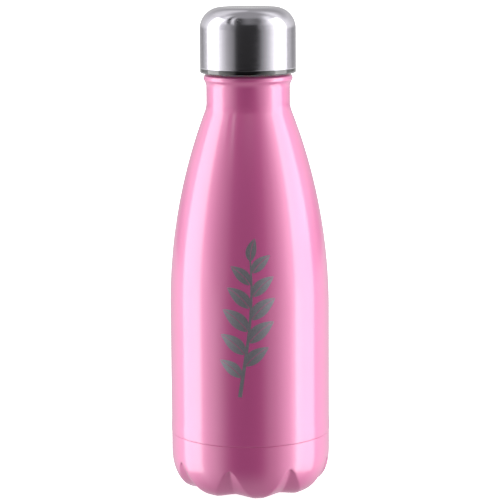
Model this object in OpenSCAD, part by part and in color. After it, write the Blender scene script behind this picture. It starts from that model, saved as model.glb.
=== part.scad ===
// Insulated steel drinking bottle: a double-walled flask with a lobed base,
// closed by a threaded stopper under a drawn steel cap.
// +Z is up, the origin is the centre of the ring of feet, and -Y is the front.

/* [Body] */
// Outside radius of the straight wall
body_r = 33.5; // [31:0.1:35]
// Thickness of the outer sheet
wall = 0.5; // [0.4:0.1:0.7]
// Height of the weld seam above the feet
seam_z = 24.4; // [23:0.2:28]
// Height at which the shoulder starts
shoulder_z = 77; // [60:1:90]
// Radius of the long curve of the shoulder
shoulder_curve = 232; // [210:2:240]
// Extra radius of the wall's rim above the seam
rim_flare = 0.1; // [0:0.05:0.2]
// Chamfer on both edges of the seam
seam_chamfer = 0.25; // [0.1:0.05:0.25]

/* [Neck and mouth] */
// Outside radius of the neck
neck_r = 17.45; // [17:0.05:17.6]
// Straight length of the neck
neck_len = 6.3; // [6:0.1:10]
// Radius of the curve between shoulder and neck
neck_fillet = 11; // [6:0.5:12]
// Radius of the rolled bead around the mouth
bead_r = 1.8; // [1.6:0.1:2]
// How far the bead stands out from the neck
bead_out = 1.1; // [0.8:0.1:1.2]
// Radius of the curve between neck and bead
bead_fillet = 5; // [3:0.5:6]

/* [Base] */
// Number of lobes, each with one foot
lobes = 8; // [7:1:9]
// Angle from the front to the middle of the first lobe, in degrees
lobe_turn = 7; // [0:1:22]
// Height at which the lobes run out into the wall
lobe_h = 17.3; // [15:0.1:19]
// Outer radius of the ring of feet
foot_r = 20; // [19:0.1:21]
// Inner radius of the ring of feet
foot_in_r = 17.5; // [16.5:0.1:18]
// Radius at which a valley between two lobes reaches its lowest stretch
valley_r = 23.3; // [22:0.1:24]
// Height of a valley over the ring of feet
valley_z = 1.6; // [1.2:0.1:2]
// Radius of the round recess in the middle
recess_r = 13; // [12.5:0.1:13.5]
// Depth of that recess
recess_z = 2.2; // [2:0.1:2.4]

/* [Liner] */
// Vacuum gap beside the straight wall
gap = 2.6; // [2.4:0.1:3]
// Thickness of the liner's sheet
liner_wall = 0.4; // [0.3:0.05:0.5]
// Height of the liner's flat bottom over the feet, outside
liner_z = 5; // [4.9:0.1:6]
// Height of the liner's weld seam
liner_seam_z = 16; // [14:0.5:20]

/* [Thread] */
// Lead of the single-start screw thread
lead = 5; // [4.5:0.5:5]
// Turns of thread on each part
thread_turns = 2.2; // [1.5:0.1:2.4]
// Inside radius of the liner's neck, at the thread's root
mouth_r = 15.7; // [15.6:0.05:15.8]
// Radius of the stopper's shank, at the thread's root
shank_r = 14.4; // [14.3:0.05:14.5]
// Height of the thread's ridge
ridge_h = 0.95; // [0.8:0.05:1]

/* [Cap] */
// Outside radius of the steel cap
cap_r = 19.95; // [19.6:0.05:20.4]
// Height of the steel cap
cap_h = 25.2; // [22:0.2:30]
// Radius of the steel cap's round shoulder
cap_round = 8.9; // [8:0.1:10]
// Thickness of the cap's sheet
cap_wall = 0.4; // [0.3:0.05:0.6]
// Height of the black ring that shows below the steel
flange_h = 1.85; // [1.4:0.05:2.4]
// Gap between the black ring and the mouth
flange_gap = 0.4; // [0.2:0.05:0.7]
// Length of the stopper below the ring
plug_len = 26; // [24:1:28]

/* [Hidden] */
$fn = 96;

// The shoulder and the neck's curve touch at this slope, measured from the vertical
neck_slope = acos((neck_r + neck_fillet - body_r + shoulder_curve) / (shoulder_curve + neck_fillet));
neck_z = shoulder_z + (shoulder_curve + neck_fillet) * sin(neck_slope);
// The bead's centre, and the slope at which the neck's curve runs into the bead
bead_c = neck_r + bead_out - bead_r;
bead_up = sqrt(pow(bead_r + bead_fillet, 2) - pow(neck_r + bead_fillet - bead_c, 2));
bead_slope = atan2(bead_up, neck_r + bead_fillet - bead_c);
bead_start_z = neck_z + neck_len;
bead_z = bead_start_z + bead_up;
mouth_z = bead_z + bead_r;

liner_r = body_r - wall - gap;              // outside of the liner's straight wall
liner_neck_r = mouth_r + liner_wall;        // outside of the liner's neck
liner_fillet = 8;
liner_curve = shoulder_curve - wall - gap;
liner_slope = acos((liner_neck_r + liner_fillet - body_r + shoulder_curve)
                   / (liner_curve + liner_fillet));
liner_neck_z = shoulder_z + (liner_curve + liner_fillet) * sin(liner_slope);
liner_corner = 8;                           // radius at the foot of the liner

flange_z = mouth_z + flange_gap;            // underside of the black ring
cap_z = flange_z + flange_h;                // lower edge of the steel
cap_top = cap_z + cap_h;
cap_in_r = cap_r - cap_wall;
fit_gap = 0.05;                             // glued and pushed fits inside the cap
gasket_h = 1.2;
gasket_r = 17.2;
plug_z = flange_z - plug_len;               // lower end of the stopper
end_cap_h = 2;
plug_wall = 1.6;
head_h = 2.5;                               // part of the stopper inside the steel cap
spigot_h = 3;                               // boss that the insert is pushed over
spigot_r = 16;
dish = 0.25;                                // hollow in the cap's flat top
thread_z = mouth_z - 14.2;                  // middle of the liner's thread where it starts

port_r = 0.75;                              // hole through which the flask was evacuated
dimple_r = 3.4;
dimple_h = 1;
getter_x = 8;
getter_r = 3;
clip_w = 4;
clip_t = 0.25;
getter_h = 1.25;

steel = [0.72, 0.71, 0.73];
pink = [0.93, 0.58, 0.79];
black = [0.06, 0.06, 0.07];

// Points along an arc, both ends included
function arc(c, r, a0, a1, n) =
    [for (i = [0 : n]) let (a = a0 + (a1 - a0) * i / n) c + r * [cos(a), sin(a)]];

function reversed(p) = [for (i = [len(p) - 1 : -1 : 0]) p[i]];

module revolve(points) rotate_extrude() polygon(points);

// The outer sheet's outline from the seam to the mouth, moved inwards by t
function shell_line(t) =
    concat([[body_r + rim_flare - t, seam_z + seam_chamfer],
            [body_r + rim_flare - t, seam_z + 2.5],
            [body_r - t, seam_z + 6]],
           arc([body_r - shoulder_curve, shoulder_z], shoulder_curve - t, 0, neck_slope, 22),
           arc([neck_r + neck_fillet, neck_z], neck_fillet + t, 180 + neck_slope, 180, 6),
           arc([neck_r + bead_fillet, bead_start_z], bead_fillet + t, 180, 180 - bead_slope, 5),
           arc([bead_c, bead_z], bead_r - t, -bead_slope, 90, 10),
           arc([bead_c, bead_z], bead_r - t, 96,
               acos((liner_neck_r - bead_c) / (bead_r - t)), 1));

module outer_shell() {
    color(pink) revolve(concat([[body_r + rim_flare - seam_chamfer, seam_z]],
                               shell_line(0),
                               reversed(shell_line(wall)),
                               [[body_r + rim_flare - wall, seam_z]]));
}

// Quarter of a superellipse from the wall down to a foot or a valley; s runs from 0 to 1
function fall(s, r, z, n) =
    [r + (body_r - r) * pow(cos(90 * s), 2 / n), z + (lobe_h - z) * (1 - pow(sin(90 * s), 2 / n))];

lobe_power = 2.4;       // how square a lobe's outline is
valley_power = 1.6;     // the same for a valley, which is nearly a bevel
lobe_sink = -0.35;      // a lobe's lowest point before it is flattened into a foot
groove_top = 0.06;      // where the valleys start, as a share of the fall
groove_rise = 0.16;     // share of a valley's length over which it reaches its full depth
groove_spread = 0.75;   // how a valley widens on its way down; 1 makes a straight V
soft = 0.45;            // share of smooth rounding in a lobe's cross-section at the feet
fall_steps = [groove_top, 0.15, 0.24, 0.32, 0.42, 0.52, 0.63, 0.74, 0.85, 0.93, 1];

function eased(x) = x * x * (3 - 2 * x);

// Share of the lobe's outline in the surface, for v from 0 in a valley to 1 on a lobe
function lobe_share(s, v) =
    let (down = max(0, (s - groove_top) / (1 - groove_top)),
         x = min(1, v / max(0.001, pow(down, groove_spread))),
         depth = eased(min(1, down / groove_rise)),
         smooth = soft * down)
    1 - depth * (1 - smooth * eased(x) - (1 - smooth) * x);

function flattened(p) = [p[0], max(0, p[1])];

function mixed(a, b, share) = flattened(a * share + b * (1 - share));

// The base's outer outline at one angle, from the seam to the port in the middle
function base_line(v) =
    let (w = lobe_share(1, v))
    concat([[body_r - seam_chamfer, seam_z], [body_r, seam_z - seam_chamfer], [body_r, lobe_h]],
           [for (s = fall_steps) mixed(fall(s, foot_r, lobe_sink, lobe_power),
                                       fall(s, valley_r, valley_z, valley_power),
                                       lobe_share(s, v))],
           [mixed([foot_in_r, lobe_sink], [foot_in_r + 1.5, valley_z + 0.2], w),
            mixed([foot_in_r - 2.6, recess_z - 0.7], [foot_in_r - 2.2, recess_z - 0.2], w),
            [recess_r, recess_z],
            [dimple_r, recess_z],
            [dimple_r - 0.8, recess_z + dimple_h],
            [port_r, recess_z + dimple_h]]);

// The same outline moved into the flask by t, square to itself
function moved_in(p, t) =
    [for (i = [0 : len(p) - 1])
        let (d = p[min(i + 1, len(p) - 1)] - p[max(i - 1, 0)])
        i < 2 ? [body_r - t, p[i][1]] : p[i] + t / norm(d) * [d[1], -d[0]]];

steps_per_lobe = 10;

module outer_base() {
    count = lobes * steps_per_lobe;
    rings = [for (j = [0 : count - 1])
        let (x = j / steps_per_lobe, p = base_line(1 - 2 * abs(x - round(x))))
        concat(p, reversed(moved_in(p, wall)))];
    n = len(rings[0]);
    points = [for (j = [0 : count - 1], p = rings[j])
        let (a = lobe_turn - 90 + 360 * j / count) [p[0] * cos(a), p[0] * sin(a), p[1]]];
    faces = [for (j = [0 : count - 1], i = [0 : n - 1])
        let (j2 = (j + 1) % count, i2 = (i + 1) % n)
        each [[j * n + i, j2 * n + i, j2 * n + i2], [j * n + i, j2 * n + i2, j * n + i2]]];
    color(pink) polyhedron(points, faces);
}

module base_cover() {
    color(steel) revolve([[0, recess_z - 0.5], [recess_r - 1.3, recess_z - 0.5],
                          [recess_r - 1, recess_z - 0.2], [recess_r - 1, recess_z], [0, recess_z]]);
}

module port_seal() {
    color([0.35, 0.4, 0.38]) revolve([[0, recess_z + 0.25], [1.8, recess_z + 0.45],
                                      [2.3, recess_z + dimple_h], [0, recess_z + dimple_h]]);
}

// The liner's outline from its seam to the mouth, moved inwards by t
function liner_line(t) =
    concat([[liner_r - t, liner_seam_z]],
           arc([body_r - shoulder_curve, shoulder_z], liner_curve - t, 0, liner_slope, 22),
           arc([liner_neck_r + liner_fillet, liner_neck_z], liner_fillet + t,
               180 + liner_slope, 180, 6));

mouth_edge = bead_z + sqrt(bead_r * bead_r - pow(liner_neck_r - bead_c, 2));

// Helical ridge on a shank or in a bore: root and crest are radii, z is its middle at the start
module ridge(root, crest, z) {
    per_turn = 36;
    count = round(thread_turns * per_turn);
    taper = per_turn / 6;
    bed = sign(root - crest) * 0.2;
    half_root = 1.2;
    half_crest = 0.45;
    points = [for (j = [0 : count])
        let (share = min(1, j / taper, (count - j) / taper),
             tip = root + (crest - root) * share,
             a = 360 * j / per_turn,
             s = [[root + bed, -half_root], [tip, -half_crest * share - 0.1],
                  [tip, half_crest * share + 0.1], [root + bed, half_root]])
        for (p = crest > root ? s : reversed(s))
            [p[0] * cos(a), p[0] * sin(a), z + p[1] + lead * j / per_turn]];
    sides = [for (j = [0 : count - 1], i = [0 : 3])
        let (a = j * 4 + i, b = j * 4 + (i + 1) % 4)
        each [[a, b, b + 4], [a, b + 4, a + 4]]];
    ends = [[3, 2, 1], [3, 1, 0],
            [count * 4, count * 4 + 1, count * 4 + 2], [count * 4, count * 4 + 2, count * 4 + 3]];
    polyhedron(points, concat(sides, ends));
}

module liner() {
    color(steel) union() {
        revolve(concat(liner_line(0),
                       [[liner_neck_r, mouth_edge]],
                       arc([liner_neck_r, mouth_edge - liner_wall], liner_wall, 90, 180, 3),
                       reversed(liner_line(liner_wall))));
        ridge(mouth_r, mouth_r - ridge_h, thread_z);
    }
}

module liner_base() {
    middle = [liner_r - liner_corner, liner_z + liner_corner];
    color(steel) revolve(concat([[liner_r, liner_seam_z]],
                                arc(middle, liner_corner, 0, -90, 8),
                                [[0, liner_z], [0, liner_z + liner_wall]],
                                arc(middle, liner_corner - liner_wall, -90, 0, 8),
                                [[liner_r - liner_wall, liner_seam_z]]));
}

module getter() {
    color([0.45, 0.45, 0.47]) translate([getter_x, 0, liner_z - getter_h])
        cylinder(r = getter_r, h = getter_h);
}

module getter_clip() {
    low = liner_z - getter_h - clip_t;
    reach = getter_r + 0.1;
    color(steel) translate([getter_x, 0, 0]) {
        translate([-reach - clip_t, -clip_w / 2, low])
            cube([2 * (reach + clip_t), clip_w, clip_t]);
        for (side = [0, 1]) mirror([side, 0, 0]) {
            translate([reach, -clip_w / 2, low]) cube([clip_t, clip_w, liner_z - low]);
            translate([reach, -clip_w / 2, liner_z - clip_t]) cube([1.5, clip_w, clip_t]);
        }
    }
}

// Ring with a rounded nose that seals on the mouth
module gasket() {
    inner = shank_r + fit_gap;
    nose = (gasket_r - inner) / 2;
    color([0.86, 0.86, 0.84]) revolve([[inner, mouth_z + 0.3], [inner + 0.4, mouth_z],
                                       [inner + 2 * nose - 0.4, mouth_z],
                                       [gasket_r, mouth_z + 0.3],
                                       [gasket_r, mouth_z + gasket_h],
                                       [inner, mouth_z + gasket_h]]);
}

// Moulded plug: threaded shank, flange that shows as a black ring, and a head inside the cap
module stopper() {
    head_r = cap_in_r - fit_gap;
    deck = cap_z + head_h;
    bore_r = shank_r - plug_wall;
    groove_z = mouth_z + gasket_h;
    color(black) union() {
        revolve(concat([[bore_r, plug_z + end_cap_h], [shank_r, plug_z + end_cap_h],
                        [shank_r, groove_z], [gasket_r + fit_gap, groove_z],
                        [gasket_r + fit_gap, flange_z]],
                       arc([cap_r - 0.4, flange_z + 0.4], 0.4, -90, 0, 4),
                       [[cap_r, cap_z], [head_r, cap_z], [head_r, deck], [spigot_r, deck],
                        [spigot_r, deck + spigot_h - 0.5], [spigot_r - 0.5, deck + spigot_h],
                        [0, deck + spigot_h], [0, deck + spigot_h - plug_wall],
                        [bore_r, deck + spigot_h - plug_wall]]));
        ridge(shank_r, shank_r + ridge_h + 0.05, thread_z - lead / 2);
    }
}

module stopper_end_cap() {
    round_r = 1.2;
    color(black) revolve(concat([[0, plug_z]],
                                arc([shank_r - round_r, plug_z + round_r], round_r, -90, 0, 5),
                                [[shank_r, plug_z + end_cap_h],
                                 [shank_r - plug_wall - fit_gap, plug_z + end_cap_h],
                                 [shank_r - plug_wall - fit_gap, plug_z + end_cap_h + 2],
                                 [0, plug_z + end_cap_h + 2]]));
}

module stopper_foam() {
    low = plug_z + end_cap_h + 2 + fit_gap;
    color([0.93, 0.92, 0.88]) translate([0, 0, low])
        cylinder(r = shank_r - plug_wall - 0.1,
                 h = cap_z + head_h + spigot_h - plug_wall - fit_gap - low);
}

// Ribbed moulding pushed into the steel cap and over the stopper's spigot
module cap_insert() {
    low = cap_z + head_h;
    skirt_in = spigot_r + fit_gap;
    outer_r = cap_in_r - fit_gap;
    inner_round = cap_round - cap_wall - fit_gap;
    top = cap_top - cap_wall - dish - fit_gap;
    middle = [outer_r - inner_round, top - inner_round];
    deck = low + spigot_h + 0.1;
    rib = 1.4;
    core = 11;
    color([0.16, 0.16, 0.17]) {
        revolve(concat([[skirt_in, low], [outer_r, low]],
                       arc(middle, inner_round, 0, 90, 8),
                       [[0, top], [0, top - rib], [middle[0], top - rib]],
                       arc(middle, inner_round - rib, 90, 0, 8),
                       [[outer_r - rib, deck + rib], [0, deck + rib], [0, deck],
                        [skirt_in, deck]]));
        for (a = [0 : 60 : 300]) rotate([0, 0, a])
            translate([-rib / 2, 3, deck + rib]) cube([rib, core, top - deck - 2 * rib]);
    }
}

module cap_shell() {
    middle = [cap_r - cap_round, cap_top - cap_round];
    color(steel) revolve(concat([[cap_in_r, cap_z], [cap_r, cap_z]],
                                arc(middle, cap_round, 0, 90, 12),
                                [[0, cap_top - dish], [0, cap_top - dish - cap_wall]],
                                arc(middle, cap_round - cap_wall, 90, 0, 12)));
}

outer_shell();
outer_base();
base_cover();
port_seal();
liner();
liner_base();
getter();
getter_clip();
gasket();
stopper();
stopper_end_cap();
stopper_foam();
cap_insert();
cap_shell();
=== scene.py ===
import math

import bmesh
import bpy
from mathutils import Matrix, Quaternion, Vector


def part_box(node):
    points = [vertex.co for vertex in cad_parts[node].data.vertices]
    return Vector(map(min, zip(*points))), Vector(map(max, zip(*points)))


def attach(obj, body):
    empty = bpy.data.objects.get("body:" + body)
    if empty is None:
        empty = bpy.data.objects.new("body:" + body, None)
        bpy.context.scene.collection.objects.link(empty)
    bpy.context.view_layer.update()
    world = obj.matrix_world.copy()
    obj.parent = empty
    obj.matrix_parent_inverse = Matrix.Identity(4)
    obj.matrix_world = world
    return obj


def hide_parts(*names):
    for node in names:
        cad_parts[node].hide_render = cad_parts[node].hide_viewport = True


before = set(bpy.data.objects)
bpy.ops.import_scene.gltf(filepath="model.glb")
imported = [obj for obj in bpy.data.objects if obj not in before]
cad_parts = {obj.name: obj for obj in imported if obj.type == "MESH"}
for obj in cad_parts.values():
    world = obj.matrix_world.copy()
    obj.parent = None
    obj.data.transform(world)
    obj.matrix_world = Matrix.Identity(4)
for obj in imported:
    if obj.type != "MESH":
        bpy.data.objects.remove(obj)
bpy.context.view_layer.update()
mm = 0.001


def arc(cx, cy, r, a0, a1, n):
    # n + 1 points along an arc, angles in degrees
    pts = []
    for i in range(n + 1):
        a = math.radians(a0 + (a1 - a0) * i / n)
        pts.append((cx + r * math.cos(a), cy + r * math.sin(a)))
    return pts


def spaced(outline, step):
    # adds points so that no straight stretch is longer than step
    pts = []
    for (r0, z0), (r1, z1) in zip(outline, outline[1:]):
        parts = max(1, math.ceil(math.hypot(r1 - r0, z1 - z0) / step))
        for i in range(parts):
            pts.append((r0 + (r1 - r0) * i / parts, z0 + (z1 - z0) * i / parts))
    return pts + [outline[-1]]


def gridMesh(name, rings, closed, mats, matOf=None, sharp=32):
    # rings[j][i] are points in mm; j runs round the axis, i along the outline
    count, n = len(rings), len(rings[0])
    verts = [Vector(p) * mm for ring in rings for p in ring]
    faces = []
    slots = []
    for j in range(count):
        k = (j + 1) % count
        for i in range(n if closed else n - 1):
            m = (i + 1) % n
            faces.append((j * n + i, k * n + i, k * n + m, j * n + m))
            slots.append(matOf(i) if matOf else 0)
    return finished(name, verts, faces, mats, slots, sharp)


def finished(name, verts, faces, mats, slots=None, sharp=32):
    mesh = bpy.data.meshes.new(name)
    mesh.from_pydata(verts, [], faces)
    for mat in mats:
        mesh.materials.append(mat)
    if slots:
        mesh.polygons.foreach_set("material_index", slots)
    mesh.validate()
    mesh.polygons.foreach_set("use_smooth", [True] * len(mesh.polygons))
    mesh.set_sharp_from_angle(angle=math.radians(sharp))
    piece = bpy.data.objects.new(name, mesh)
    bpy.context.scene.collection.objects.link(piece)
    return piece


def lathe(name, outline, mats, turns=192, closed=True, matOf=None, moved=None, sharp=32):
    # outline goes clockwise round the metal seen with r to the right, so that faces look outwards
    rings = []
    for j in range(turns):
        a = 2 * math.pi * j / turns
        ca, sa = math.cos(a), math.sin(a)
        ring = []
        for r, z in outline:
            if moved:
                r, z = moved(r, z, a)
            ring.append((r * ca, r * sa, z))
        rings.append(ring)
    piece = gridMesh(name, rings, closed, mats, matOf, sharp)
    weld(piece)
    return piece


def weld(piece):
    # closes the poles of lathed forms that reach the axis
    bm = bmesh.new()
    bm.from_mesh(piece.data)
    bmesh.ops.remove_doubles(bm, verts=bm.verts, dist=1e-7)
    bmesh.ops.dissolve_degenerate(bm, edges=bm.edges, dist=1e-8)
    bm.to_mesh(piece.data)
    bm.free()


def place(piece, body, nodes):
    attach(piece, body)
    if nodes:
        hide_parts(*nodes)
    return piece


def linear(hexCode):
    # sRGB hex to a linear colour
    out = []
    for i in (0, 2, 4):
        c = int(hexCode[i:i + 2], 16) / 255
        out.append(c / 12.92 if c <= 0.04045 else ((c + 0.055) / 1.055) ** 2.4)
    return (*out, 1)


def shaded(hexCode, share):
    # the same colour made darker or lighter
    return (*[min(1, c * share) for c in linear(hexCode)[:3]], 1)


def node(tree, kind, links=None, **settings):
    # adds a node; settings that name an input set that socket, others set the node itself
    made = tree.nodes.new(kind)
    for key, value in settings.items():
        if hasattr(made, key):
            setattr(made, key, value)
        else:
            made.inputs[key.replace("_", " ")].default_value = value
    for key, source in (links or {}).items():
        tree.links.new(source, made.inputs[key])
    return made


def newMaterial(name):
    mat = bpy.data.materials.new(name)
    mat.use_nodes = True
    tree = mat.node_tree
    shader = tree.nodes["Principled BSDF"]
    return mat, tree, shader


def setShader(shader, **values):
    for key, value in values.items():
        shader.inputs[key.replace("_", " ")].default_value = value


def calc(tree, operation, *values):
    # a math node fed with sockets or numbers
    made = node(tree, "ShaderNodeMath", operation=operation)
    for i, value in enumerate(values):
        if isinstance(value, (int, float)):
            made.inputs[i].default_value = value
        else:
            tree.links.new(value, made.inputs[i])
    return made.outputs[0]


def inMillimetres(tree):
    # the piece's own coordinates, so that a pattern's scale is one over its size in mm
    where = node(tree, "ShaderNodeTexCoord")
    sized = node(tree, "ShaderNodeMapping", {"Vector": where.outputs["Object"]})
    sized.inputs["Scale"].default_value = (1 / mm, 1 / mm, 1 / mm)
    return sized.outputs["Vector"]


def noise(tree, spot, scale, detail, **settings):
    made = node(tree, "ShaderNodeTexNoise", {"Vector": spot}, Scale=scale, Detail=detail, **settings)
    return made.outputs["Fac"]


def twoTones(tree, shader, share, first, second):
    tone = node(tree, "ShaderNodeMix", {"Factor": share}, data_type="RGBA")
    tone.inputs[6].default_value = first
    tone.inputs[7].default_value = second
    tree.links.new(tone.outputs[2], shader.inputs["Base Color"])


def roughBand(tree, shader, share, low, high, **span):
    band = node(tree, "ShaderNodeMapRange", {"Value": share}, To_Min=low, To_Max=high, **span)
    tree.links.new(band.outputs["Result"], shader.inputs["Roughness"])


def relief(tree, shader, height, strength, deepMm, **settings):
    bump = node(tree, "ShaderNodeBump", {"Height": height}, Strength=strength, Distance=deepMm * mm,
                **settings)
    tree.links.new(bump.outputs["Normal"], shader.inputs["Normal"])


lacquer = {"colour": "EA63AE", "deep": "E762A6", "cloudMm": 25, "roughness": 0.47, "roughSpan": 0.02,
           "metal": 0.3, "sheen": 0.6, "sheenRough": 0.3, "sheenTint": "FFEAF4",
           "coatRough": 0.15, "coatIor": 2.1, "peelMm": 1.4, "peel": 0.02, "peelDeep": 0.1}


def satinLacquer():
    # Sprayed and baked lacquer under a clear coat: even satin colour, soft bright bands, faint orange peel
    mat, tree, shader = newMaterial("satin_pink_lacquer")
    spot = inMillimetres(tree)
    cloud = noise(tree, spot, 1 / lacquer["cloudMm"], 2.0)
    peel = noise(tree, spot, 1 / lacquer["peelMm"], 1.0)
    rough, span = lacquer["roughness"], lacquer["roughSpan"]
    twoTones(tree, shader, cloud, linear(lacquer["colour"]), linear(lacquer["deep"]))
    roughBand(tree, shader, cloud, rough - span, rough + span)
    relief(tree, shader, peel, lacquer["peel"], lacquer["peelDeep"])
    setShader(shader, IOR=1.5, Metallic=lacquer["metal"], Specular_IOR_Level=1.0,
              Sheen_Weight=lacquer["sheen"], Sheen_Roughness=lacquer["sheenRough"],
              Sheen_Tint=linear(lacquer["sheenTint"]), Coat_Weight=1.0,
              Coat_Roughness=lacquer["coatRough"], Coat_IOR=lacquer["coatIor"])
    return mat


capFinish = {"colour": "C7C4CC", "lineMm": 0.1, "roughness": 0.1, "aniso": 0.9, "depth": 0.12}
linerFinish = {"colour": "BDBABC", "lineMm": 0.5, "roughness": 0.28, "aniso": 0.6, "depth": 0.2}
brushing = {"along": 0.0006, "wide": 4, "grainLow": 0.3, "grainHigh": 0.7, "smoother": 0.05,
            "rougher": 0.08, "dark": 0.93, "light": 1.05, "deepMm": 0.02}


def brushedSteel(name, finish):
    # Stainless steel turned against abrasive: fine lines round the axis smear highlights along it
    mat, tree, shader = newMaterial(name)
    where = node(tree, "ShaderNodeTexCoord")
    parts = node(tree, "ShaderNodeSeparateXYZ", {"Vector": where.outputs["Object"]})
    x, y, z = (parts.outputs[axis] for axis in "XYZ")
    squares = calc(tree, "ADD", calc(tree, "MULTIPLY", x, x), calc(tree, "MULTIPLY", y, y))
    radius = calc(tree, "SQRT", squares)
    slow = calc(tree, "MULTIPLY", calc(tree, "ARCTAN2", y, x), brushing["along"])
    lines = node(tree, "ShaderNodeCombineXYZ", {"X": radius, "Y": slow, "Z": z}).outputs[0]
    scale = 1 / (finish["lineMm"] * mm)
    grain = noise(tree, lines, scale, 3.0, Roughness=0.7)
    wide = noise(tree, lines, scale / brushing["wide"], 1.0)
    twoTones(tree, shader, wide, shaded(finish["colour"], brushing["dark"]),
             shaded(finish["colour"], brushing["light"]))
    roughBand(tree, shader, grain, finish["roughness"] - brushing["smoother"],
              finish["roughness"] + brushing["rougher"],
              From_Min=brushing["grainLow"], From_Max=brushing["grainHigh"])
    relief(tree, shader, grain, finish["depth"], brushing["deepMm"])
    tangent = node(tree, "ShaderNodeTangent", direction_type="RADIAL", axis="Z")
    tree.links.new(tangent.outputs["Tangent"], shader.inputs["Tangent"])
    setShader(shader, Metallic=1.0, Anisotropic=finish["aniso"])
    return mat


moulding = {"grainMm": 0.6, "cloud": 0.15, "dark": 0.85, "light": 1.15, "roughSpan": 0.04,
            "depth": 0.05, "deepMm": 0.03}


def moulded(name, colour, roughness, coat=0.0, coatIor=1.5):
    # Injection-moulded polypropylene: even colour with the faint texture of the tool
    mat, tree, shader = newMaterial(name)
    spot = inMillimetres(tree)
    grain = noise(tree, spot, 1 / moulding["grainMm"], 3.0)
    cloud = noise(tree, spot, moulding["cloud"], 2.0)
    twoTones(tree, shader, cloud, shaded(colour, moulding["dark"]), shaded(colour, moulding["light"]))
    roughBand(tree, shader, grain, roughness - moulding["roughSpan"], roughness + moulding["roughSpan"])
    relief(tree, shader, grain, moulding["depth"], moulding["deepMm"])
    setShader(shader, IOR=1.49, Coat_Weight=coat, Coat_Roughness=0.05, Coat_IOR=coatIor)
    return mat


def etchedSteel():
    # Steel bared by a laser: pale matt grey with a fine hatch of the beam's passes
    mat, tree, shader = newMaterial("laser_etched_steel")
    spot = inMillimetres(tree)
    grain = noise(tree, spot, 2.5, 3.0)
    hatch = node(tree, "ShaderNodeTexWave", {"Vector": spot}, bands_direction="Z", Scale=2.5,
                 Distortion=0.6)
    twoTones(tree, shader, grain, linear("A3A1AC"), linear("CFCDD6"))
    roughBand(tree, shader, grain, 0.34, 0.48)
    relief(tree, shader, hatch.outputs["Fac"], 0.15, 0.02)
    setShader(shader, Metallic=0.85)
    return mat


def siliconeRubber():
    # Cured silicone: milky and slightly see-through, dull with a little dust
    mat, tree, shader = newMaterial("translucent_silicone")
    dust = noise(tree, inMillimetres(tree), 3.0, 4.0)
    twoTones(tree, shader, dust, linear("D9D8D3"), linear("ECEBE6"))
    roughBand(tree, shader, dust, 0.38, 0.55)
    setShader(shader, IOR=1.41, Subsurface_Weight=0.35, Subsurface_Scale=0.002)
    return mat


def foamBead():
    # Expanded polystyrene: fused white beads about 2.5 mm across, each bead painted darker towards its rim
    # as shade where it dips into the seams
    mat, tree, shader = newMaterial("expanded_polystyrene")
    beadMm = 2.5
    beadShadeCells = node(tree, "ShaderNodeTexVoronoi", {"Vector": inMillimetres(tree)}, Scale=1 / beadMm)
    # painted shade: pale at each bead's middle, grey at its rim, following the same dents as the relief
    twoTones(tree, shader, beadShadeCells.outputs["Distance"], linear("F4F3EE"), linear("DAD8D0"))
    relief(tree, shader, beadShadeCells.outputs["Distance"], 0.5, 0.3, invert=True)
    setShader(shader, Roughness=0.7, IOR=1.5)
    return mat


def speckled(name, dark, light, roughness, metallic, speckMm):
    # Pressed metal powder or fused glass: two tones in fine grains
    mat, tree, shader = newMaterial(name)
    grain = noise(tree, inMillimetres(tree), 1 / speckMm, 4.0)
    twoTones(tree, shader, grain, linear(dark), linear(light))
    relief(tree, shader, grain, 0.3, 0.1)
    setShader(shader, Roughness=roughness, Metallic=metallic)
    return mat


pinkLacquer = satinLacquer()
capSteel = brushedSteel("brushed_stainless", capFinish)
linerSteel = brushedSteel("drawn_stainless", linerFinish)
blackPlastic = moulded("gloss_black_polypropylene", "08080A", 0.09, coat=1.0, coatIor=1.85)
insertPlastic = moulded("grey_polypropylene", "2A2A2D", 0.4)
etched = etchedSteel()
silicone = siliconeRubber()
foam = foamBead()
sealGlass = speckled("solder_glass", "3C4642", "5A645E", 0.25, 0.0, 0.4)
getterMetal = speckled("pressed_zirconium_powder", "4A4A4D", "77777B", 0.7, 0.6, 0.2)
print("materials made")


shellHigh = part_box("outer_shell")[1] / mm
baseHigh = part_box("outer_base")[1] / mm

body = {"r": baseHigh.x, "seamZ": baseHigh.z, "mouthZ": shellHigh.z, "wall": 0.5,
        "flare": shellHigh.x - baseHigh.x, "rimH": 2.6, "rimEase": 3.4,
        "seamHalf": 0.2, "seamDeep": 0.32, "shoulderZ": 77, "shoulderCurve": 232}
neck = {"r": 17.45, "fillet": 11, "length": 6.3, "beadR": 1.8, "beadOut": 1.1, "beadFillet": 5.0,
        "innerR": 16.1}


def shoulderEnd(curve, fillet, r):
    # slope and height at which the shoulder meets the neck's curve
    slope = math.acos((r + fillet - body["r"] + body["shoulderCurve"]) / (curve + fillet))
    return math.degrees(slope), body["shoulderZ"] + (curve + fillet) * math.sin(slope)


neckSlope, neckZ = shoulderEnd(body["shoulderCurve"], neck["fillet"], neck["r"])
beadC = neck["r"] + neck["beadOut"] - neck["beadR"]
beadSide = neck["r"] + neck["beadFillet"] - beadC
beadUp = math.sqrt((neck["beadR"] + neck["beadFillet"]) ** 2 - beadSide ** 2)
beadSlope = math.degrees(math.atan2(beadUp, beadSide))
beadStart = neckZ + neck["length"]
beadZ = beadStart + beadUp


def eased(x):
    return x * x * (3 - 2 * x)


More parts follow.
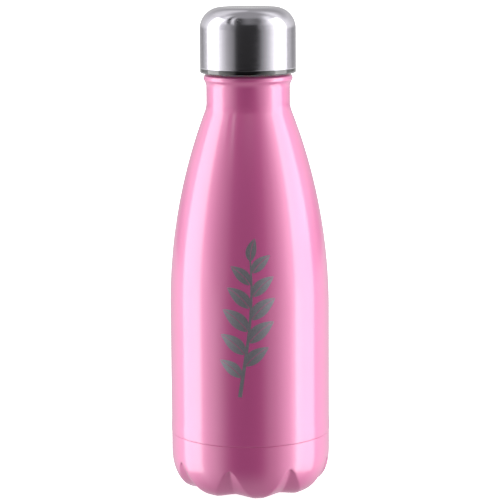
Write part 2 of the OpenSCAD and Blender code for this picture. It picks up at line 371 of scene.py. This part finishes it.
def shellLine(t):
    # outline of the outer sheet from the seam to the mouth, moved inwards by t
    r, flare, half = body["r"], body["flare"], body["seamHalf"]
    rimTop = body["seamZ"] + body["rimH"]
    line = [(r + flare - t, body["seamZ"] + half)]
    for i in range(1, 5):
        line.append((r + flare - t, body["seamZ"] + half + (body["rimH"] - half) * i / 4))
    for i in range(1, 11):
        line.append((r + flare * (1 - eased(i / 10)) - t, rimTop + body["rimEase"] * i / 10))
    line += spaced([(r - t, rimTop + body["rimEase"] + 0.4), (r - t, body["shoulderZ"] - 0.4)], 3)
    line += arc(r - body["shoulderCurve"], body["shoulderZ"], body["shoulderCurve"] - t,
                0, neckSlope, 60)
    line += arc(neck["r"] + neck["fillet"], neckZ, neck["fillet"] + t,
                180 + neckSlope, 180, 14)[1:]
    line += arc(neck["r"] + neck["beadFillet"], beadStart, neck["beadFillet"] + t,
                180, 180 - beadSlope, 14)
    endAngle = math.degrees(math.acos((neck["innerR"] - beadC) / (neck["beadR"] - t)))
    line += arc(beadC, beadZ, neck["beadR"] - t, -beadSlope, endAngle, 26)[1:]
    return line


def seamEdge(r):
    # rounded edge of a sheet at the seam, from inside to outside, heights from the seam
    half, deep = body["seamHalf"], body["seamDeep"]
    return [(r - deep + deep * math.cos(math.radians(a)), half + half * math.sin(math.radians(a)))
            for a in (-90, -68, -45, -22, 0)]


def flaskWall():
    outer = shellLine(0)
    inner = shellLine(body["wall"])[::-1]
    r, seam = body["r"] + body["flare"], body["seamZ"]
    edge = [(x, seam + z) for x, z in seamEdge(r)][:-1]
    outline = edge + outer + inner + [(r - body["wall"], seam)]
    bareFrom = max(i for i, p in enumerate(outline) if p in outer and p[0] > beadC - 0.1)

    def matOf(i):
        return 0 if i < bareFrom else 1
    piece = lathe("flask_wall", outline, [pinkLacquer, linerSteel], 256, matOf=matOf)
    return place(piece, "flask", ["outer_shell"])


base = {"lobes": 8, "turn": 7, "lobeH": 17.3, "footR": 20, "footInR": 17.5, "valleyR": 23.3,
        "valleyZ": 1.6, "recessR": 13, "recessZ": 2.2, "lobePower": 2.4, "valleyPower": 1.6,
        "sink": -0.35, "footSoft": 0.06, "grooveTop": 0.06, "grooveRise": 0.16,
        "grooveSpread": 0.75, "soft": 0.45, "stepsPerLobe": 40, "fallSteps": 48, "fallPower": 0.85,
        "recessLip": ((0.9, 0.12), (0.3, 0.02), (-0.4, 0)), "dimpleR": 3.4, "dimpleH": 1.0,
        "portR": 0.75}

# from foot to recess: radius past footInR and height over sink on a lobe, the same over valleyZ in a valley
toRecess = ((1.6, 0, 3.0, 0.05), (0.8, 0, 2.0, 0.1), (0, 0.1, 1.0, 0.18), (-0.9, 0.6, -0.4, 0.28),
            (-1.9, 1.3, -1.6, 0.38), (-2.8, 1.95, -2.6, 0.48))


def fall(s, r, z, n):
    # quarter of a superellipse from the wall down to a foot or a valley
    c, d = math.cos(math.pi / 2 * s), math.sin(math.pi / 2 * s)
    return (r + (body["r"] - r) * max(0, c) ** (2 / n),
            z + (base["lobeH"] - z) * (1 - d ** (2 / n)))


def lobeShare(s, v):
    # share of the lobe's outline in the surface, for v from 0 in a valley to 1 on a lobe
    down = max(0, (s - base["grooveTop"]) / (1 - base["grooveTop"]))
    x = min(1, v / max(0.001, down ** base["grooveSpread"]))
    depth = eased(min(1, down / base["grooveRise"]))
    soft = base["soft"] * down
    return 1 - depth * (1 - soft * eased(x) - (1 - soft) * x)


def mixed(a, b, share):
    z = a[1] * share + b[1] * (1 - share)
    soft = base["footSoft"]                         # rounds the edge of the flat foot
    return (a[0] * share + b[0] * (1 - share), (z + math.sqrt(z * z + soft * soft)) / 2)


def baseLine(v):
    # outline at one angle, from the seam to the port; v is 0 in a valley and 1 on a lobe
    r, seam = body["r"], body["seamZ"]
    line = [(x, seam - z) for x, z in seamEdge(r)]
    line += spaced([(r, seam - 0.7), (r, base["lobeH"] + 0.3)], 1.5)
    for i in range(1, base["fallSteps"] + 1):
        s = (i / base["fallSteps"]) ** base["fallPower"]
        line.append(mixed(fall(s, base["footR"], base["sink"], base["lobePower"]),
                          fall(s, base["valleyR"], base["valleyZ"], base["valleyPower"]),
                          lobeShare(s, v)))
    w = lobeShare(1, v)
    for lobeIn, lobeUp, valleyIn, valleyUp in toRecess:
        line.append(mixed((base["footInR"] + lobeIn, base["sink"] + lobeUp),
                          (base["footInR"] + valleyIn, base["valleyZ"] + valleyUp), w))
    z = base["recessZ"]
    line += [(base["recessR"] + outwards, z - down) for outwards, down in base["recessLip"]]
    line += spaced([(base["recessR"] - 1.5, z), (base["dimpleR"] + 0.3, z)], 2)
    line += [(base["dimpleR"], z + 0.05), (base["dimpleR"] - 0.6, z + base["dimpleH"] - 0.1),
             (base["dimpleR"] - 1, z + base["dimpleH"]), (base["portR"], z + base["dimpleH"])]
    return line


def movedIn(line, t):
    # the same outline moved into the flask by t, square to itself
    out = []
    for i, (r, z) in enumerate(line):
        r0, z0 = line[max(0, i - 1)]
        r1, z1 = line[min(len(line) - 1, i + 1)]
        size = math.hypot(r1 - r0, z1 - z0)
        out.append((r + t * (z1 - z0) / size, z - t * (r1 - r0) / size))
    return out


def flaskBase():
    count = base["lobes"] * base["stepsPerLobe"]
    rings = []
    for j in range(count):
        x = j / base["stepsPerLobe"]
        line = baseLine(1 - 2 * abs(x - round(x)))
        inside = movedIn(line, body["wall"])
        inside = [(body["r"] - body["wall"], body["seamZ"])] + inside[5:]   # past the seam's edge
        a = math.radians(base["turn"] - 90) + 2 * math.pi * j / count
        rings.append([(r * math.cos(a), r * math.sin(a), z) for r, z in line + inside[::-1]])
    outside = len(line)
    piece = gridMesh("lobed_base", rings, True, [pinkLacquer, linerSteel],
                     lambda i: 0 if i < outside else 1, sharp=60)
    return place(piece, "flask", ["outer_base"])


plate = {"inset": 1, "edge": 0.3, "edgeZ": 0.2, "field": 0.38,
         "rim": ((1.4, 0.5), (1.8, 0.42), (2.2, 0.38)), "button": ((2.4, 0.36), (1.8, 0.3), (0, 0.3))}


def baseCover():
    # round plate pressed into the recess, with a rolled edge and a shallow ring
    r, z = base["recessR"] - plate["inset"], base["recessZ"]
    outline = [(0, z), (r, z)]
    outline += arc(r - plate["edge"], z - plate["edgeZ"], plate["edge"], 0, -90, 5)
    outline += [(r - inwards, z - down) for inwards, down in plate["rim"]]
    outline += spaced([(r - 3, z - plate["field"]), (3, z - plate["field"])], 2)
    outline += [(x, z - down) for x, down in plate["button"]]
    piece = lathe("base_plate", outline[::-1], [pinkLacquer], 128)
    return place(piece, "flask", ["base_cover"])


thread = {"lead": 5, "turns": 2.2, "depth": 0.95, "half": 1.15, "flank": 1.6, "taper": 1 / 6,
          "clear": 0.05, "plain": 0.8, "mesh": 0.16}


def ridge(z, a, start):
    # how much of the thread's ridge is at height z and angle a, from 0 to 1
    best = 0
    part = a / (2 * math.pi)
    for k in range(int(thread["turns"]) + 2):
        along = part + k
        if along > thread["turns"]:
            break
        share = min(1, along / thread["taper"], (thread["turns"] - along) / thread["taper"])
        off = abs(z - start - thread["lead"] * along) / thread["half"]
        if off < 1:
            rise = eased(min(1, thread["flank"] * (1 - off)))
            best = max(best, rise * math.sqrt(max(0, share)))
    return best


linerLow, linerHigh = (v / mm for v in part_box("liner"))
liner = {"wall": 0.4, "mouthR": 15.7, "fillet": 8, "seamZ": linerLow.z, "r": linerHigh.x,
         "bottomZ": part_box("liner_base")[0].z / mm, "corner": 8, "threadDown": 14.2}
liner["threadZ"] = body["mouthZ"] - liner["threadDown"]


def linerLine(t):
    # outline of the inner vessel from its seam to its mouth, moved inwards by t
    curve = body["shoulderCurve"] - (body["r"] - liner["r"])
    r = liner["mouthR"] + liner["wall"]
    slope, z = shoulderEnd(curve, liner["fillet"], r)
    line = spaced([(liner["r"] - t, liner["seamZ"]), (liner["r"] - t, body["shoulderZ"] - 0.3)], 4)
    line += arc(body["r"] - body["shoulderCurve"], body["shoulderZ"], curve - t, 0, slope, 50)
    line += arc(r + liner["fillet"], z, liner["fillet"] + t, 180 + slope, 180, 12)[1:]
    return line + spaced([(r - t, z + thread["mesh"]), (r - t, linerHigh.z - liner["wall"])],
                         thread["mesh"])


def linerVessel():
    w = liner["wall"]
    r = liner["mouthR"] + w
    lip = arc(r, linerHigh.z - w, w, 90, 180, 6)
    outline = linerLine(0) + [(r, linerHigh.z)] + lip[1:] + linerLine(w)[::-1][1:]

    def rolled(rr, z, a):
        if rr < r + 0.01 and z < linerHigh.z - thread["plain"]:
            rr -= thread["depth"] * ridge(z, a, liner["threadZ"])
        return rr, z
    piece = lathe("inner_vessel", outline, [linerSteel], 192, moved=rolled, sharp=50)
    return place(piece, "flask", ["liner"])


def linerBottom():
    c, w, r, z = liner["corner"], liner["wall"], liner["r"], liner["bottomZ"]
    middle = 0.01
    outline = [(r, liner["seamZ"])] + arc(r - c, z + c, c, 0, -90, 16)
    outline += spaced([(r - c - 2, z), (middle, z)], 3)
    outline += spaced([(middle, z + w), (r - c - 2, z + w)], 3)
    outline += arc(r - c, z + c, c - w, -90, 0, 16) + [(r - w, liner["seamZ"])]
    piece = lathe("inner_vessel_bottom", outline[::-1], [linerSteel], 160)
    return place(piece, "flask", ["liner_base"])


flaskWall()
flaskBase()
baseCover()
linerVessel()
linerBottom()
print("flask made")


capLow, capHigh = (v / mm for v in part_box("cap_shell"))
stopLow, stopHigh = (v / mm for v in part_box("stopper"))
cap = {"r": capHigh.x, "low": capLow.z, "top": capHigh.z, "round": 8.9, "wall": 0.4, "edge": 0.12,
       "dish": ((1.5, 0.01), (3, 0.04), (5, 0.12), (7, 0.19), (9, 0.235)), "dishDeep": 0.25}


def capShell():
    r, w, top, low, edge = cap["r"], cap["wall"], cap["top"], cap["low"], cap["edge"]
    cr, cz = r - cap["round"], top - cap["round"]
    flat = [(cr - inwards, top - down) for inwards, down in cap["dish"]] + [(0, top - cap["dishDeep"])]
    outer = arc(r - edge, low + edge, edge, -90, 0, 4)
    outer += spaced([(r, low + 0.4), (r, cz - 0.3)], 2)
    outer += arc(cr, cz, cap["round"], 0, 90, 40) + flat
    inner = arc(cr, cz, cap["round"] - w, 0, 90, 24) + [(x, z - w) for x, z in flat]
    inner = [(r - w, low)] + inner
    piece = lathe("steel_cap", outer + inner[::-1], [capSteel], 256)
    return place(piece, "cap", ["cap_shell"])


stopper = {"flangeR": stopHigh.x, "flangeH": 1.85, "edge": 0.4, "rim": 0.1, "shankR": 14.4,
           "lowZ": stopLow.z, "wall": 1.6, "headGap": 0.05, "headH": 2.5, "spigotR": 16,
           "spigotH": 3, "spigotEdge": 0.5, "grooveR": 17.25, "grooveZ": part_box("gasket")[1].z / mm,
           "root": 0.3, "threadDown": 2.5}


def stopperBody():
    s = stopper
    low, shank, groove, root, rim = cap["low"], s["shankR"], s["grooveZ"], s["root"], s["rim"]
    flange = low - s["flangeH"]
    deck = low + s["headH"]
    peak = deck + s["spigotH"]
    bore = shank - s["wall"]
    head = cap["r"] - cap["wall"] - s["headGap"]
    outline = [(bore, s["lowZ"])] + spaced([(shank, s["lowZ"]), (shank, groove - root)], thread["mesh"])
    outline += arc(shank + root, groove - root, root, 180, 90, 4)
    outline += [(s["grooveR"], groove), (s["grooveR"], flange + 0.1), (s["grooveR"] + 0.1, flange)]
    outline += arc(s["flangeR"] - s["edge"], flange + s["edge"], s["edge"], -90, 0, 8)
    outline += arc(s["flangeR"] - rim, low - rim, rim, 0, 90, 4)
    outline += [(head, low), (head, deck), (s["spigotR"], deck), (s["spigotR"], peak - s["spigotEdge"]),
                (s["spigotR"] - s["spigotEdge"], peak), (0, peak), (0, peak - s["wall"]),
                (bore, peak - s["wall"])]

    def cut(r, z, a):
        if abs(r - shank) < 0.01 and z < groove - thread["plain"]:
            r += (thread["depth"] + thread["clear"]) * ridge(z, a, liner["threadZ"] - s["threadDown"])
        return r, z
    piece = lathe("threaded_stopper", outline, [blackPlastic], 224, moved=cut, sharp=40)
    return place(piece, "cap", ["stopper"])


# the disc's face: radius from the axis and height over its lowest ring
endFace = ((0, 0.35), (0.9, 0.35), (1.1, 0.12), (2.2, 0.12), (2.4, 0.3), (8.2, 0.3), (8.6, 0.25),
           (9.0, 0), (9.4, 0))
endRim = {"edge": 1.2, "skirt": 1.85, "step": 2, "chamfer": 0.12, "spigot": 1.65}


def stopperEnd():
    # welded disc with a rounded rim, a shallow ring and the gate's mark in the middle
    low, high = (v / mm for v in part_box("stopper_end_cap"))
    r, z, edge = high.x, low.z, endRim["edge"]
    spigot = r - endRim["spigot"]
    outline = spaced([(x, z + up) for x, up in endFace], 1.5)
    outline += arc(r - edge, z + edge, edge, -90, 0, 10)
    outline += [(r, z + endRim["skirt"]), (r - endRim["chamfer"], z + endRim["step"]),
                (spigot, z + endRim["step"]), (spigot, high.z), (0, high.z)]
    piece = lathe("stopper_end_disc", outline, [blackPlastic], 160)
    return place(piece, "cap", ["stopper_end_cap"])


ring = {"clear": 0.05, "edge": 0.4, "grooveHalf": 0.6, "grooveFloor": 0.35, "grooveDeep": 0.15}


def sealRing():
    # flat ring with rounded lower edges and a groove round its underside
    low, high = (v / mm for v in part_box("gasket"))
    inner, outer = stopper["shankR"] + ring["clear"], high.x
    z, top, edge = low.z, high.z, ring["edge"]
    half, floor, deep = ring["grooveHalf"], ring["grooveFloor"], ring["grooveDeep"]
    middle = (inner + outer) / 2
    outline = [(inner, top)] + arc(inner + edge, z + edge, edge, 180, 270, 5)
    outline += [(middle - half, z), (middle - floor, z + deep), (middle + floor, z + deep),
                (middle + half, z)]
    outline += arc(outer - edge, z + edge, edge, -90, 0, 5) + [(outer, top)]
    piece = lathe("silicone_seal", outline, [silicone], 160)
    return place(piece, "seal", ["gasket"])


capShell()
stopperBody()
stopperEnd()
sealRing()
for name, mat in (("port_seal", sealGlass), ("getter", getterMetal), ("getter_clip", linerSteel),
                  ("stopper_foam", foam), ("cap_insert", insertPlastic)):
    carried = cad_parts[name]
    carried.data.materials.clear()
    carried.data.materials.append(mat)
print("cap and stopper made")


sprig = {"lowZ": 45.5, "highZ": 108.6, "tip": 6, "middle": -2.6, "sway": 3.4, "swayTurn": 2.6,
         "swayStart": -0.5, "leaves": 11, "leafL": 14.0, "leafW": 6.4, "spread": 46, "closing": 8,
         "firstLeaf": 0.14, "leafRun": 0.84, "fullest": 0.45, "smaller": 0.7, "bow": 14, "vein": 0.11,
         "stem": 1.3, "stemFoot": 1.25, "stemThins": 0.75, "proud": 0.012, "sunk": 0.03}


def wallR(z):
    if z <= body["shoulderZ"]:
        return body["r"]
    h = z - body["shoulderZ"]
    c = body["shoulderCurve"]
    return body["r"] - c + math.sqrt(c * c - h * h)


def onWall(u, z, lift):
    # a point u mm to the right of the front line, measured round the wall
    r = wallR(z)
    a = u / r - math.pi / 2
    return Vector(((r + lift) * math.cos(a), (r + lift) * math.sin(a), z)) * mm


def stemAt(t):
    # the stem's line in the unrolled wall, t from 0 to 1
    z = sprig["lowZ"] + (sprig["highZ"] - sprig["lowZ"] - sprig["tip"]) * t
    sway = sprig["sway"] * math.sin(sprig["swayTurn"] * t + sprig["swayStart"])
    return Vector((sprig["middle"] + sway, z))


def patch(rows, verts, faces):
    # one closed thin plate from rows of points in the unrolled wall
    n = len(rows[0])
    start = len(verts)
    for lift in (sprig["proud"], -sprig["sunk"]):
        verts += [onWall(p[0], p[1], lift) for row in rows for p in row]
    size = len(rows) * n
    for i in range(len(rows) - 1):
        for j in range(n - 1):
            a = start + i * n + j
            quad = (a, a + 1, a + n + 1, a + n)
            faces.append(quad)
            faces.append(tuple(q + size for q in quad[::-1]))
    rim = [start + j for j in range(n)] + [start + i * n + n - 1 for i in range(1, len(rows))]
    rim += [start + (len(rows) - 1) * n + j for j in range(n - 2, -1, -1)]
    rim += [start + i * n for i in range(len(rows) - 2, 0, -1)]
    for a, b in zip(rim, rim[1:] + rim[:1]):
        faces.append((b, a, a + size, b + size))


def leaf(foot, angle, length, width, verts, faces):
    # two halves on either side of a fine vein, bowed along the midrib
    steps, across = 16, 4
    for side in (-1, 1):
        rows = []
        for i in range(steps + 1):
            t = 0.02 + 0.98 * i / steps
            bend = angle + math.copysign(math.radians(sprig["bow"]), angle) * (t - 0.5)
            mid = foot + Vector((math.sin(bend), math.cos(bend))) * length * t
            out = Vector((math.cos(bend), -math.sin(bend))) * side
            half = width / 2 * math.sin(math.pi * t ** 0.8) ** 0.85 if t < 1 else 0
            vein = min(sprig["vein"], half * 0.4)
            rows.append([mid + out * (vein + (half - vein) * k / across) for k in range(across + 1)])
        if side < 0:
            rows = [row[::-1] for row in rows]
        patch(rows, verts, faces)


def stemPlate(verts, faces):
    rows = []
    steps = 60
    for i in range(steps + 1):
        t = i / steps
        p, q = stemAt(t), stemAt(t + 0.01)
        d = (q - p).normalized()
        out = Vector((d.y, -d.x))
        half = sprig["stem"] / 2 * (sprig["stemFoot"] - sprig["stemThins"] * t)
        rows.append([p - out * half, p, p + out * half])
    patch(rows, verts, faces)


def etchedSprig():
    verts, faces = [], []
    stemPlate(verts, faces)
    for k in range(sprig["leaves"]):
        t = sprig["firstLeaf"] + sprig["leafRun"] * k / (sprig["leaves"] - 1)
        last = k == sprig["leaves"] - 1
        side = 1 if k % 2 else -1
        size = 1 - sprig["smaller"] * abs(t - sprig["fullest"]) ** 1.2
        angle = 0.08 if last else side * math.radians(sprig["spread"] - sprig["closing"] * t)
        p = stemAt(t) + (Vector((0, 0.3)) if last else Vector((side * 0.5, 0.2)))
        leaf(p, angle, sprig["leafL"] * size, sprig["leafW"] * size, verts, faces)
    piece = finished("etched_sprig", verts, faces, [etched], sharp=40)
    return place(piece, "flask", [])


etchedSprig()
print("ornament made")


studio = {"floor": "F7F6F7", "floorHalf": 6.0, "floorDrop": 0.0002, "floorGlow": 0.9,
          "boxDistance": 0.62, "boxWidth": 0.41, "boxLow": -0.3, "boxHigh": 0.85, "boxPower": 1.6,
          "leftTurn": -92, "rightTurn": 86, "topPower": 0.35, "topWidth": 0.4, "topDepth": 0.3,
          "topPlace": (0, -0.3, 0.52), "topAim": (0, 0, 0.12)}


def addFloor():
    # white sweep which only the camera sees
    mesh = bpy.data.meshes.new("floor")
    s = studio["floorHalf"]
    mesh.from_pydata([(-s, -s, 0), (s, -s, 0), (s, s, 0), (-s, s, 0)], [], [(0, 1, 2, 3)])
    floor = bpy.data.objects.new("floor", mesh)
    bpy.context.scene.collection.objects.link(floor)
    mat, tree, shader = newMaterial("white_sweep")
    setShader(shader, Base_Color=linear(studio["floor"]), Roughness=0.9,
              Emission_Strength=studio["floorGlow"], Emission_Color=linear("FFFFFF"))
    mesh.materials.append(mat)
    floor.location.z = -studio["floorDrop"]
    floor.visible_glossy = False
    floor.visible_shadow = False
    floor.visible_diffuse = False


def panel(name, width, height, radiance, location, facing):
    # lamp panel that the camera doesn't see
    light = bpy.data.lights.new(name, "AREA")
    light.shape = "RECTANGLE"
    light.size = width
    light.size_y = height
    light.energy = radiance * width * height * math.pi
    lamp = bpy.data.objects.new(name, light)
    bpy.context.scene.collection.objects.link(lamp)
    lamp.location = location
    lamp.rotation_euler = Vector(facing).to_track_quat("-Z", "Y").to_euler()
    lamp.visible_camera = False
    return lamp


def softbox(name, turn):
    # tall panel that faces the bottle's axis; turn is its azimuth from the front towards the right
    a = math.radians(turn)
    low, high, far = studio["boxLow"], studio["boxHigh"], studio["boxDistance"]
    panel(name, studio["boxWidth"], high - low, studio["boxPower"],
          (far * math.sin(a), -far * math.cos(a), (low + high) / 2), (-math.sin(a), math.cos(a), 0))


def topPanel():
    # panel over the front, aimed at the bottle's middle
    facing = Vector(studio["topAim"]) - Vector(studio["topPlace"])
    lamp = panel("softbox_top", studio["topWidth"], studio["topDepth"], studio["topPower"],
                 studio["topPlace"], facing)
    lamp.visible_glossy = False


# brightness round the room as (azimuth, brightness), azimuth from the front towards the right
room = {"floor": ((-180, 0.6), (-150, 0.75), (-137, 0.95), (-117, 1.2), (-98, 1.2), (-80, 1.6),
                  (-60, 1.0), (-24, 0.0), (12, 0.0), (34, 0.5), (56, 1.1), (70, 2.1), (86, 1.2),
                  (102, 1.0), (123, 1.15), (137, 1.0), (150, 0.8), (180, 0.6)),
        "walls": ((-180, 0.7), (-158, 0.55), (-140, 0.4), (-122, 0.8), (-110, 1.3), (-68, 1.4),
                  (-59, 0.9), (-51, 0.6), (-43, 0.45), (-35, 0.34), (-29, 0.09), (-22, 0.04),
                  (20, 0.04), (27, 0.1), (35, 0.38), (42, 0.58), (50, 0.88), (58, 1.4), (66, 1.7),
                  (84, 1.2), (96, 0.9), (119, 0.75), (135, 0.4), (158, 0.55), (180, 0.7)),
        "skyline": ((-180, 0.6), (-155, 0.72), (-138, 0.9), (-118, 1.2), (-76, 1.4), (-64, 0.9),
                    (-50, 0.55), (-35, 0.3), (-26, 0.05), (20, 0.04), (36, 0.4), (50, 0.9),
                    (60, 1.5), (70, 1.8), (84, 1.2), (100, 1.4), (118, 1.2), (138, 0.9), (155, 0.72),
                    (180, 0.6)),
        "rafters": ((-180, 0.5), (-165, 0.7), (-150, 1.0), (-118, 1.2), (-90, 0.9), (-74, 1.5),
                    (-68, 1.3), (-63, 0.0), (-54, 0.0), (-46, 1.7), (-38, 0.1), (-28, 0.05),
                    (0, 0.28), (30, 0.2), (38, 0.25), (46, 0.6), (54, 0.8), (61, 1.4), (70, 1.6),
                    (90, 1.0), (115, 1.5), (128, 1.0), (140, 0.7), (155, 0.5), (180, 0.5)),
        "fan": 0.8, "fanFrom": 0.695, "ceiling": 0.45, "ground": 0.4, "brightest": 3.0,
        "groundTop": (-75, -15), "wallFoot": (-5.6, -4.2), "skyFoot": (-3, 6),
        "rafterFoot": (20, 42), "ceilingEdge": (56, 76)}


def grey(value):
    return (*[value / room["brightest"]] * 3, 1)


def roundRoom(tree, share, stops):
    # brightness round the room from (azimuth, brightness) stops; share is the azimuth from 0 to 1
    sweep = node(tree, "ShaderNodeValToRGB", {"Fac": share})
    ramp = sweep.color_ramp
    ramp.interpolation = "EASE"
    while len(ramp.elements) < len(stops):
        ramp.elements.new(0.5)
    for stop, (azimuth, glow) in zip(ramp.elements, stops):
        stop.position = (azimuth + 180) / 360
        stop.color = grey(glow)
    return sweep.outputs["Color"]


def heightMix(tree, height, edge, below, above):
    # changes from below to above between the two elevations of edge, in degrees
    low, high = (math.sin(math.radians(degrees)) for degrees in edge)
    share = node(tree, "ShaderNodeMapRange", {"Value": height}, interpolation_type="SMOOTHSTEP",
                 From_Min=low, From_Max=high)
    mix = node(tree, "ShaderNodeMix", {"Factor": share.outputs["Result"]}, data_type="RGBA")
    for socket, value in ((6, below), (7, above)):
        if isinstance(value, tuple):
            mix.inputs[socket].default_value = value
        else:
            tree.links.new(value, mix.inputs[socket])
    return mix.outputs[2]


def shareOfTurn(tree, turn):
    made = node(tree, "ShaderNodeMapRange", {"Value": turn}, From_Min=-math.pi, From_Max=math.pi)
    return made.outputs["Result"]


def addWorld():
    # a dim room: dark in front of the bottle, brighter to the sides, a table below and a pale ceiling
    world = bpy.data.worlds.new("studio")
    bpy.context.scene.world = world
    world.use_nodes = True
    tree = world.node_tree
    where = node(tree, "ShaderNodeTexCoord")
    parts = node(tree, "ShaderNodeSeparateXYZ", {"Vector": where.outputs["Generated"]})
    height = parts.outputs["Z"]
    turn = calc(tree, "ARCTAN2", parts.outputs["X"], calc(tree, "MULTIPLY", parts.outputs["Y"], -1))
    share = shareOfTurn(tree, turn)
    table, walls, skyline = (roundRoom(tree, share, room[k]) for k in ("floor", "walls", "skyline"))
    spread = calc(tree, "MULTIPLY_ADD", height, -room["fan"], 1 + room["fan"] * room["fanFrom"])
    fanned = shareOfTurn(tree, calc(tree, "MULTIPLY", turn, spread))
    rafters = roundRoom(tree, fanned, room["rafters"])      # streaks which part as they rise
    light = heightMix(tree, height, room["groundTop"], grey(room["ground"]), table)
    light = heightMix(tree, height, room["wallFoot"], light, walls)
    light = heightMix(tree, height, room["skyFoot"], light, skyline)
    light = heightMix(tree, height, room["rafterFoot"], light, rafters)
    light = heightMix(tree, height, room["ceilingEdge"], light, grey(room["ceiling"]))
    back = tree.nodes["Background"]
    tree.links.new(light, back.inputs["Color"])
    back.inputs["Strength"].default_value = room["brightest"]
    white = node(tree, "ShaderNodeBackground", Color=(1, 1, 1, 1))
    seen = node(tree, "ShaderNodeLightPath")
    mix = node(tree, "ShaderNodeMixShader", {"Fac": seen.outputs["Is Camera Ray"],
                                             1: back.outputs[0], 2: white.outputs[0]})
    tree.links.new(mix.outputs[0], tree.nodes["World Output"].inputs["Surface"])


view = {"lens": 153.72, "sensor": 36, "place": (0.0003, -0.8873, 0.2434), "tilt": 9.10,
        "roll": -0.00706, "near": 0.05, "far": 20}


def addCamera():
    data = bpy.data.cameras.new("camera")
    data.sensor_width = view["sensor"]
    data.lens = view["lens"]
    data.clip_start, data.clip_end = view["near"], view["far"]
    camera = bpy.data.objects.new("camera", data)
    bpy.context.scene.collection.objects.link(camera)
    camera.location = view["place"]
    camera.rotation_mode = "QUATERNION"
    tilt = Quaternion((1, 0, 0), math.radians(90 - view["tilt"]))
    roll = Quaternion((0, 0, 1), view["roll"])
    camera.rotation_quaternion = tilt @ roll
    bpy.context.scene.camera = camera


addFloor()
softbox("softbox_left", studio["leftTurn"])
softbox("softbox_right", studio["rightTurn"])
topPanel()
addWorld()
addCamera()
bpy.context.scene.view_settings.view_transform = "Standard"
bpy.context.scene.view_settings.look = "None"
print("studio made")
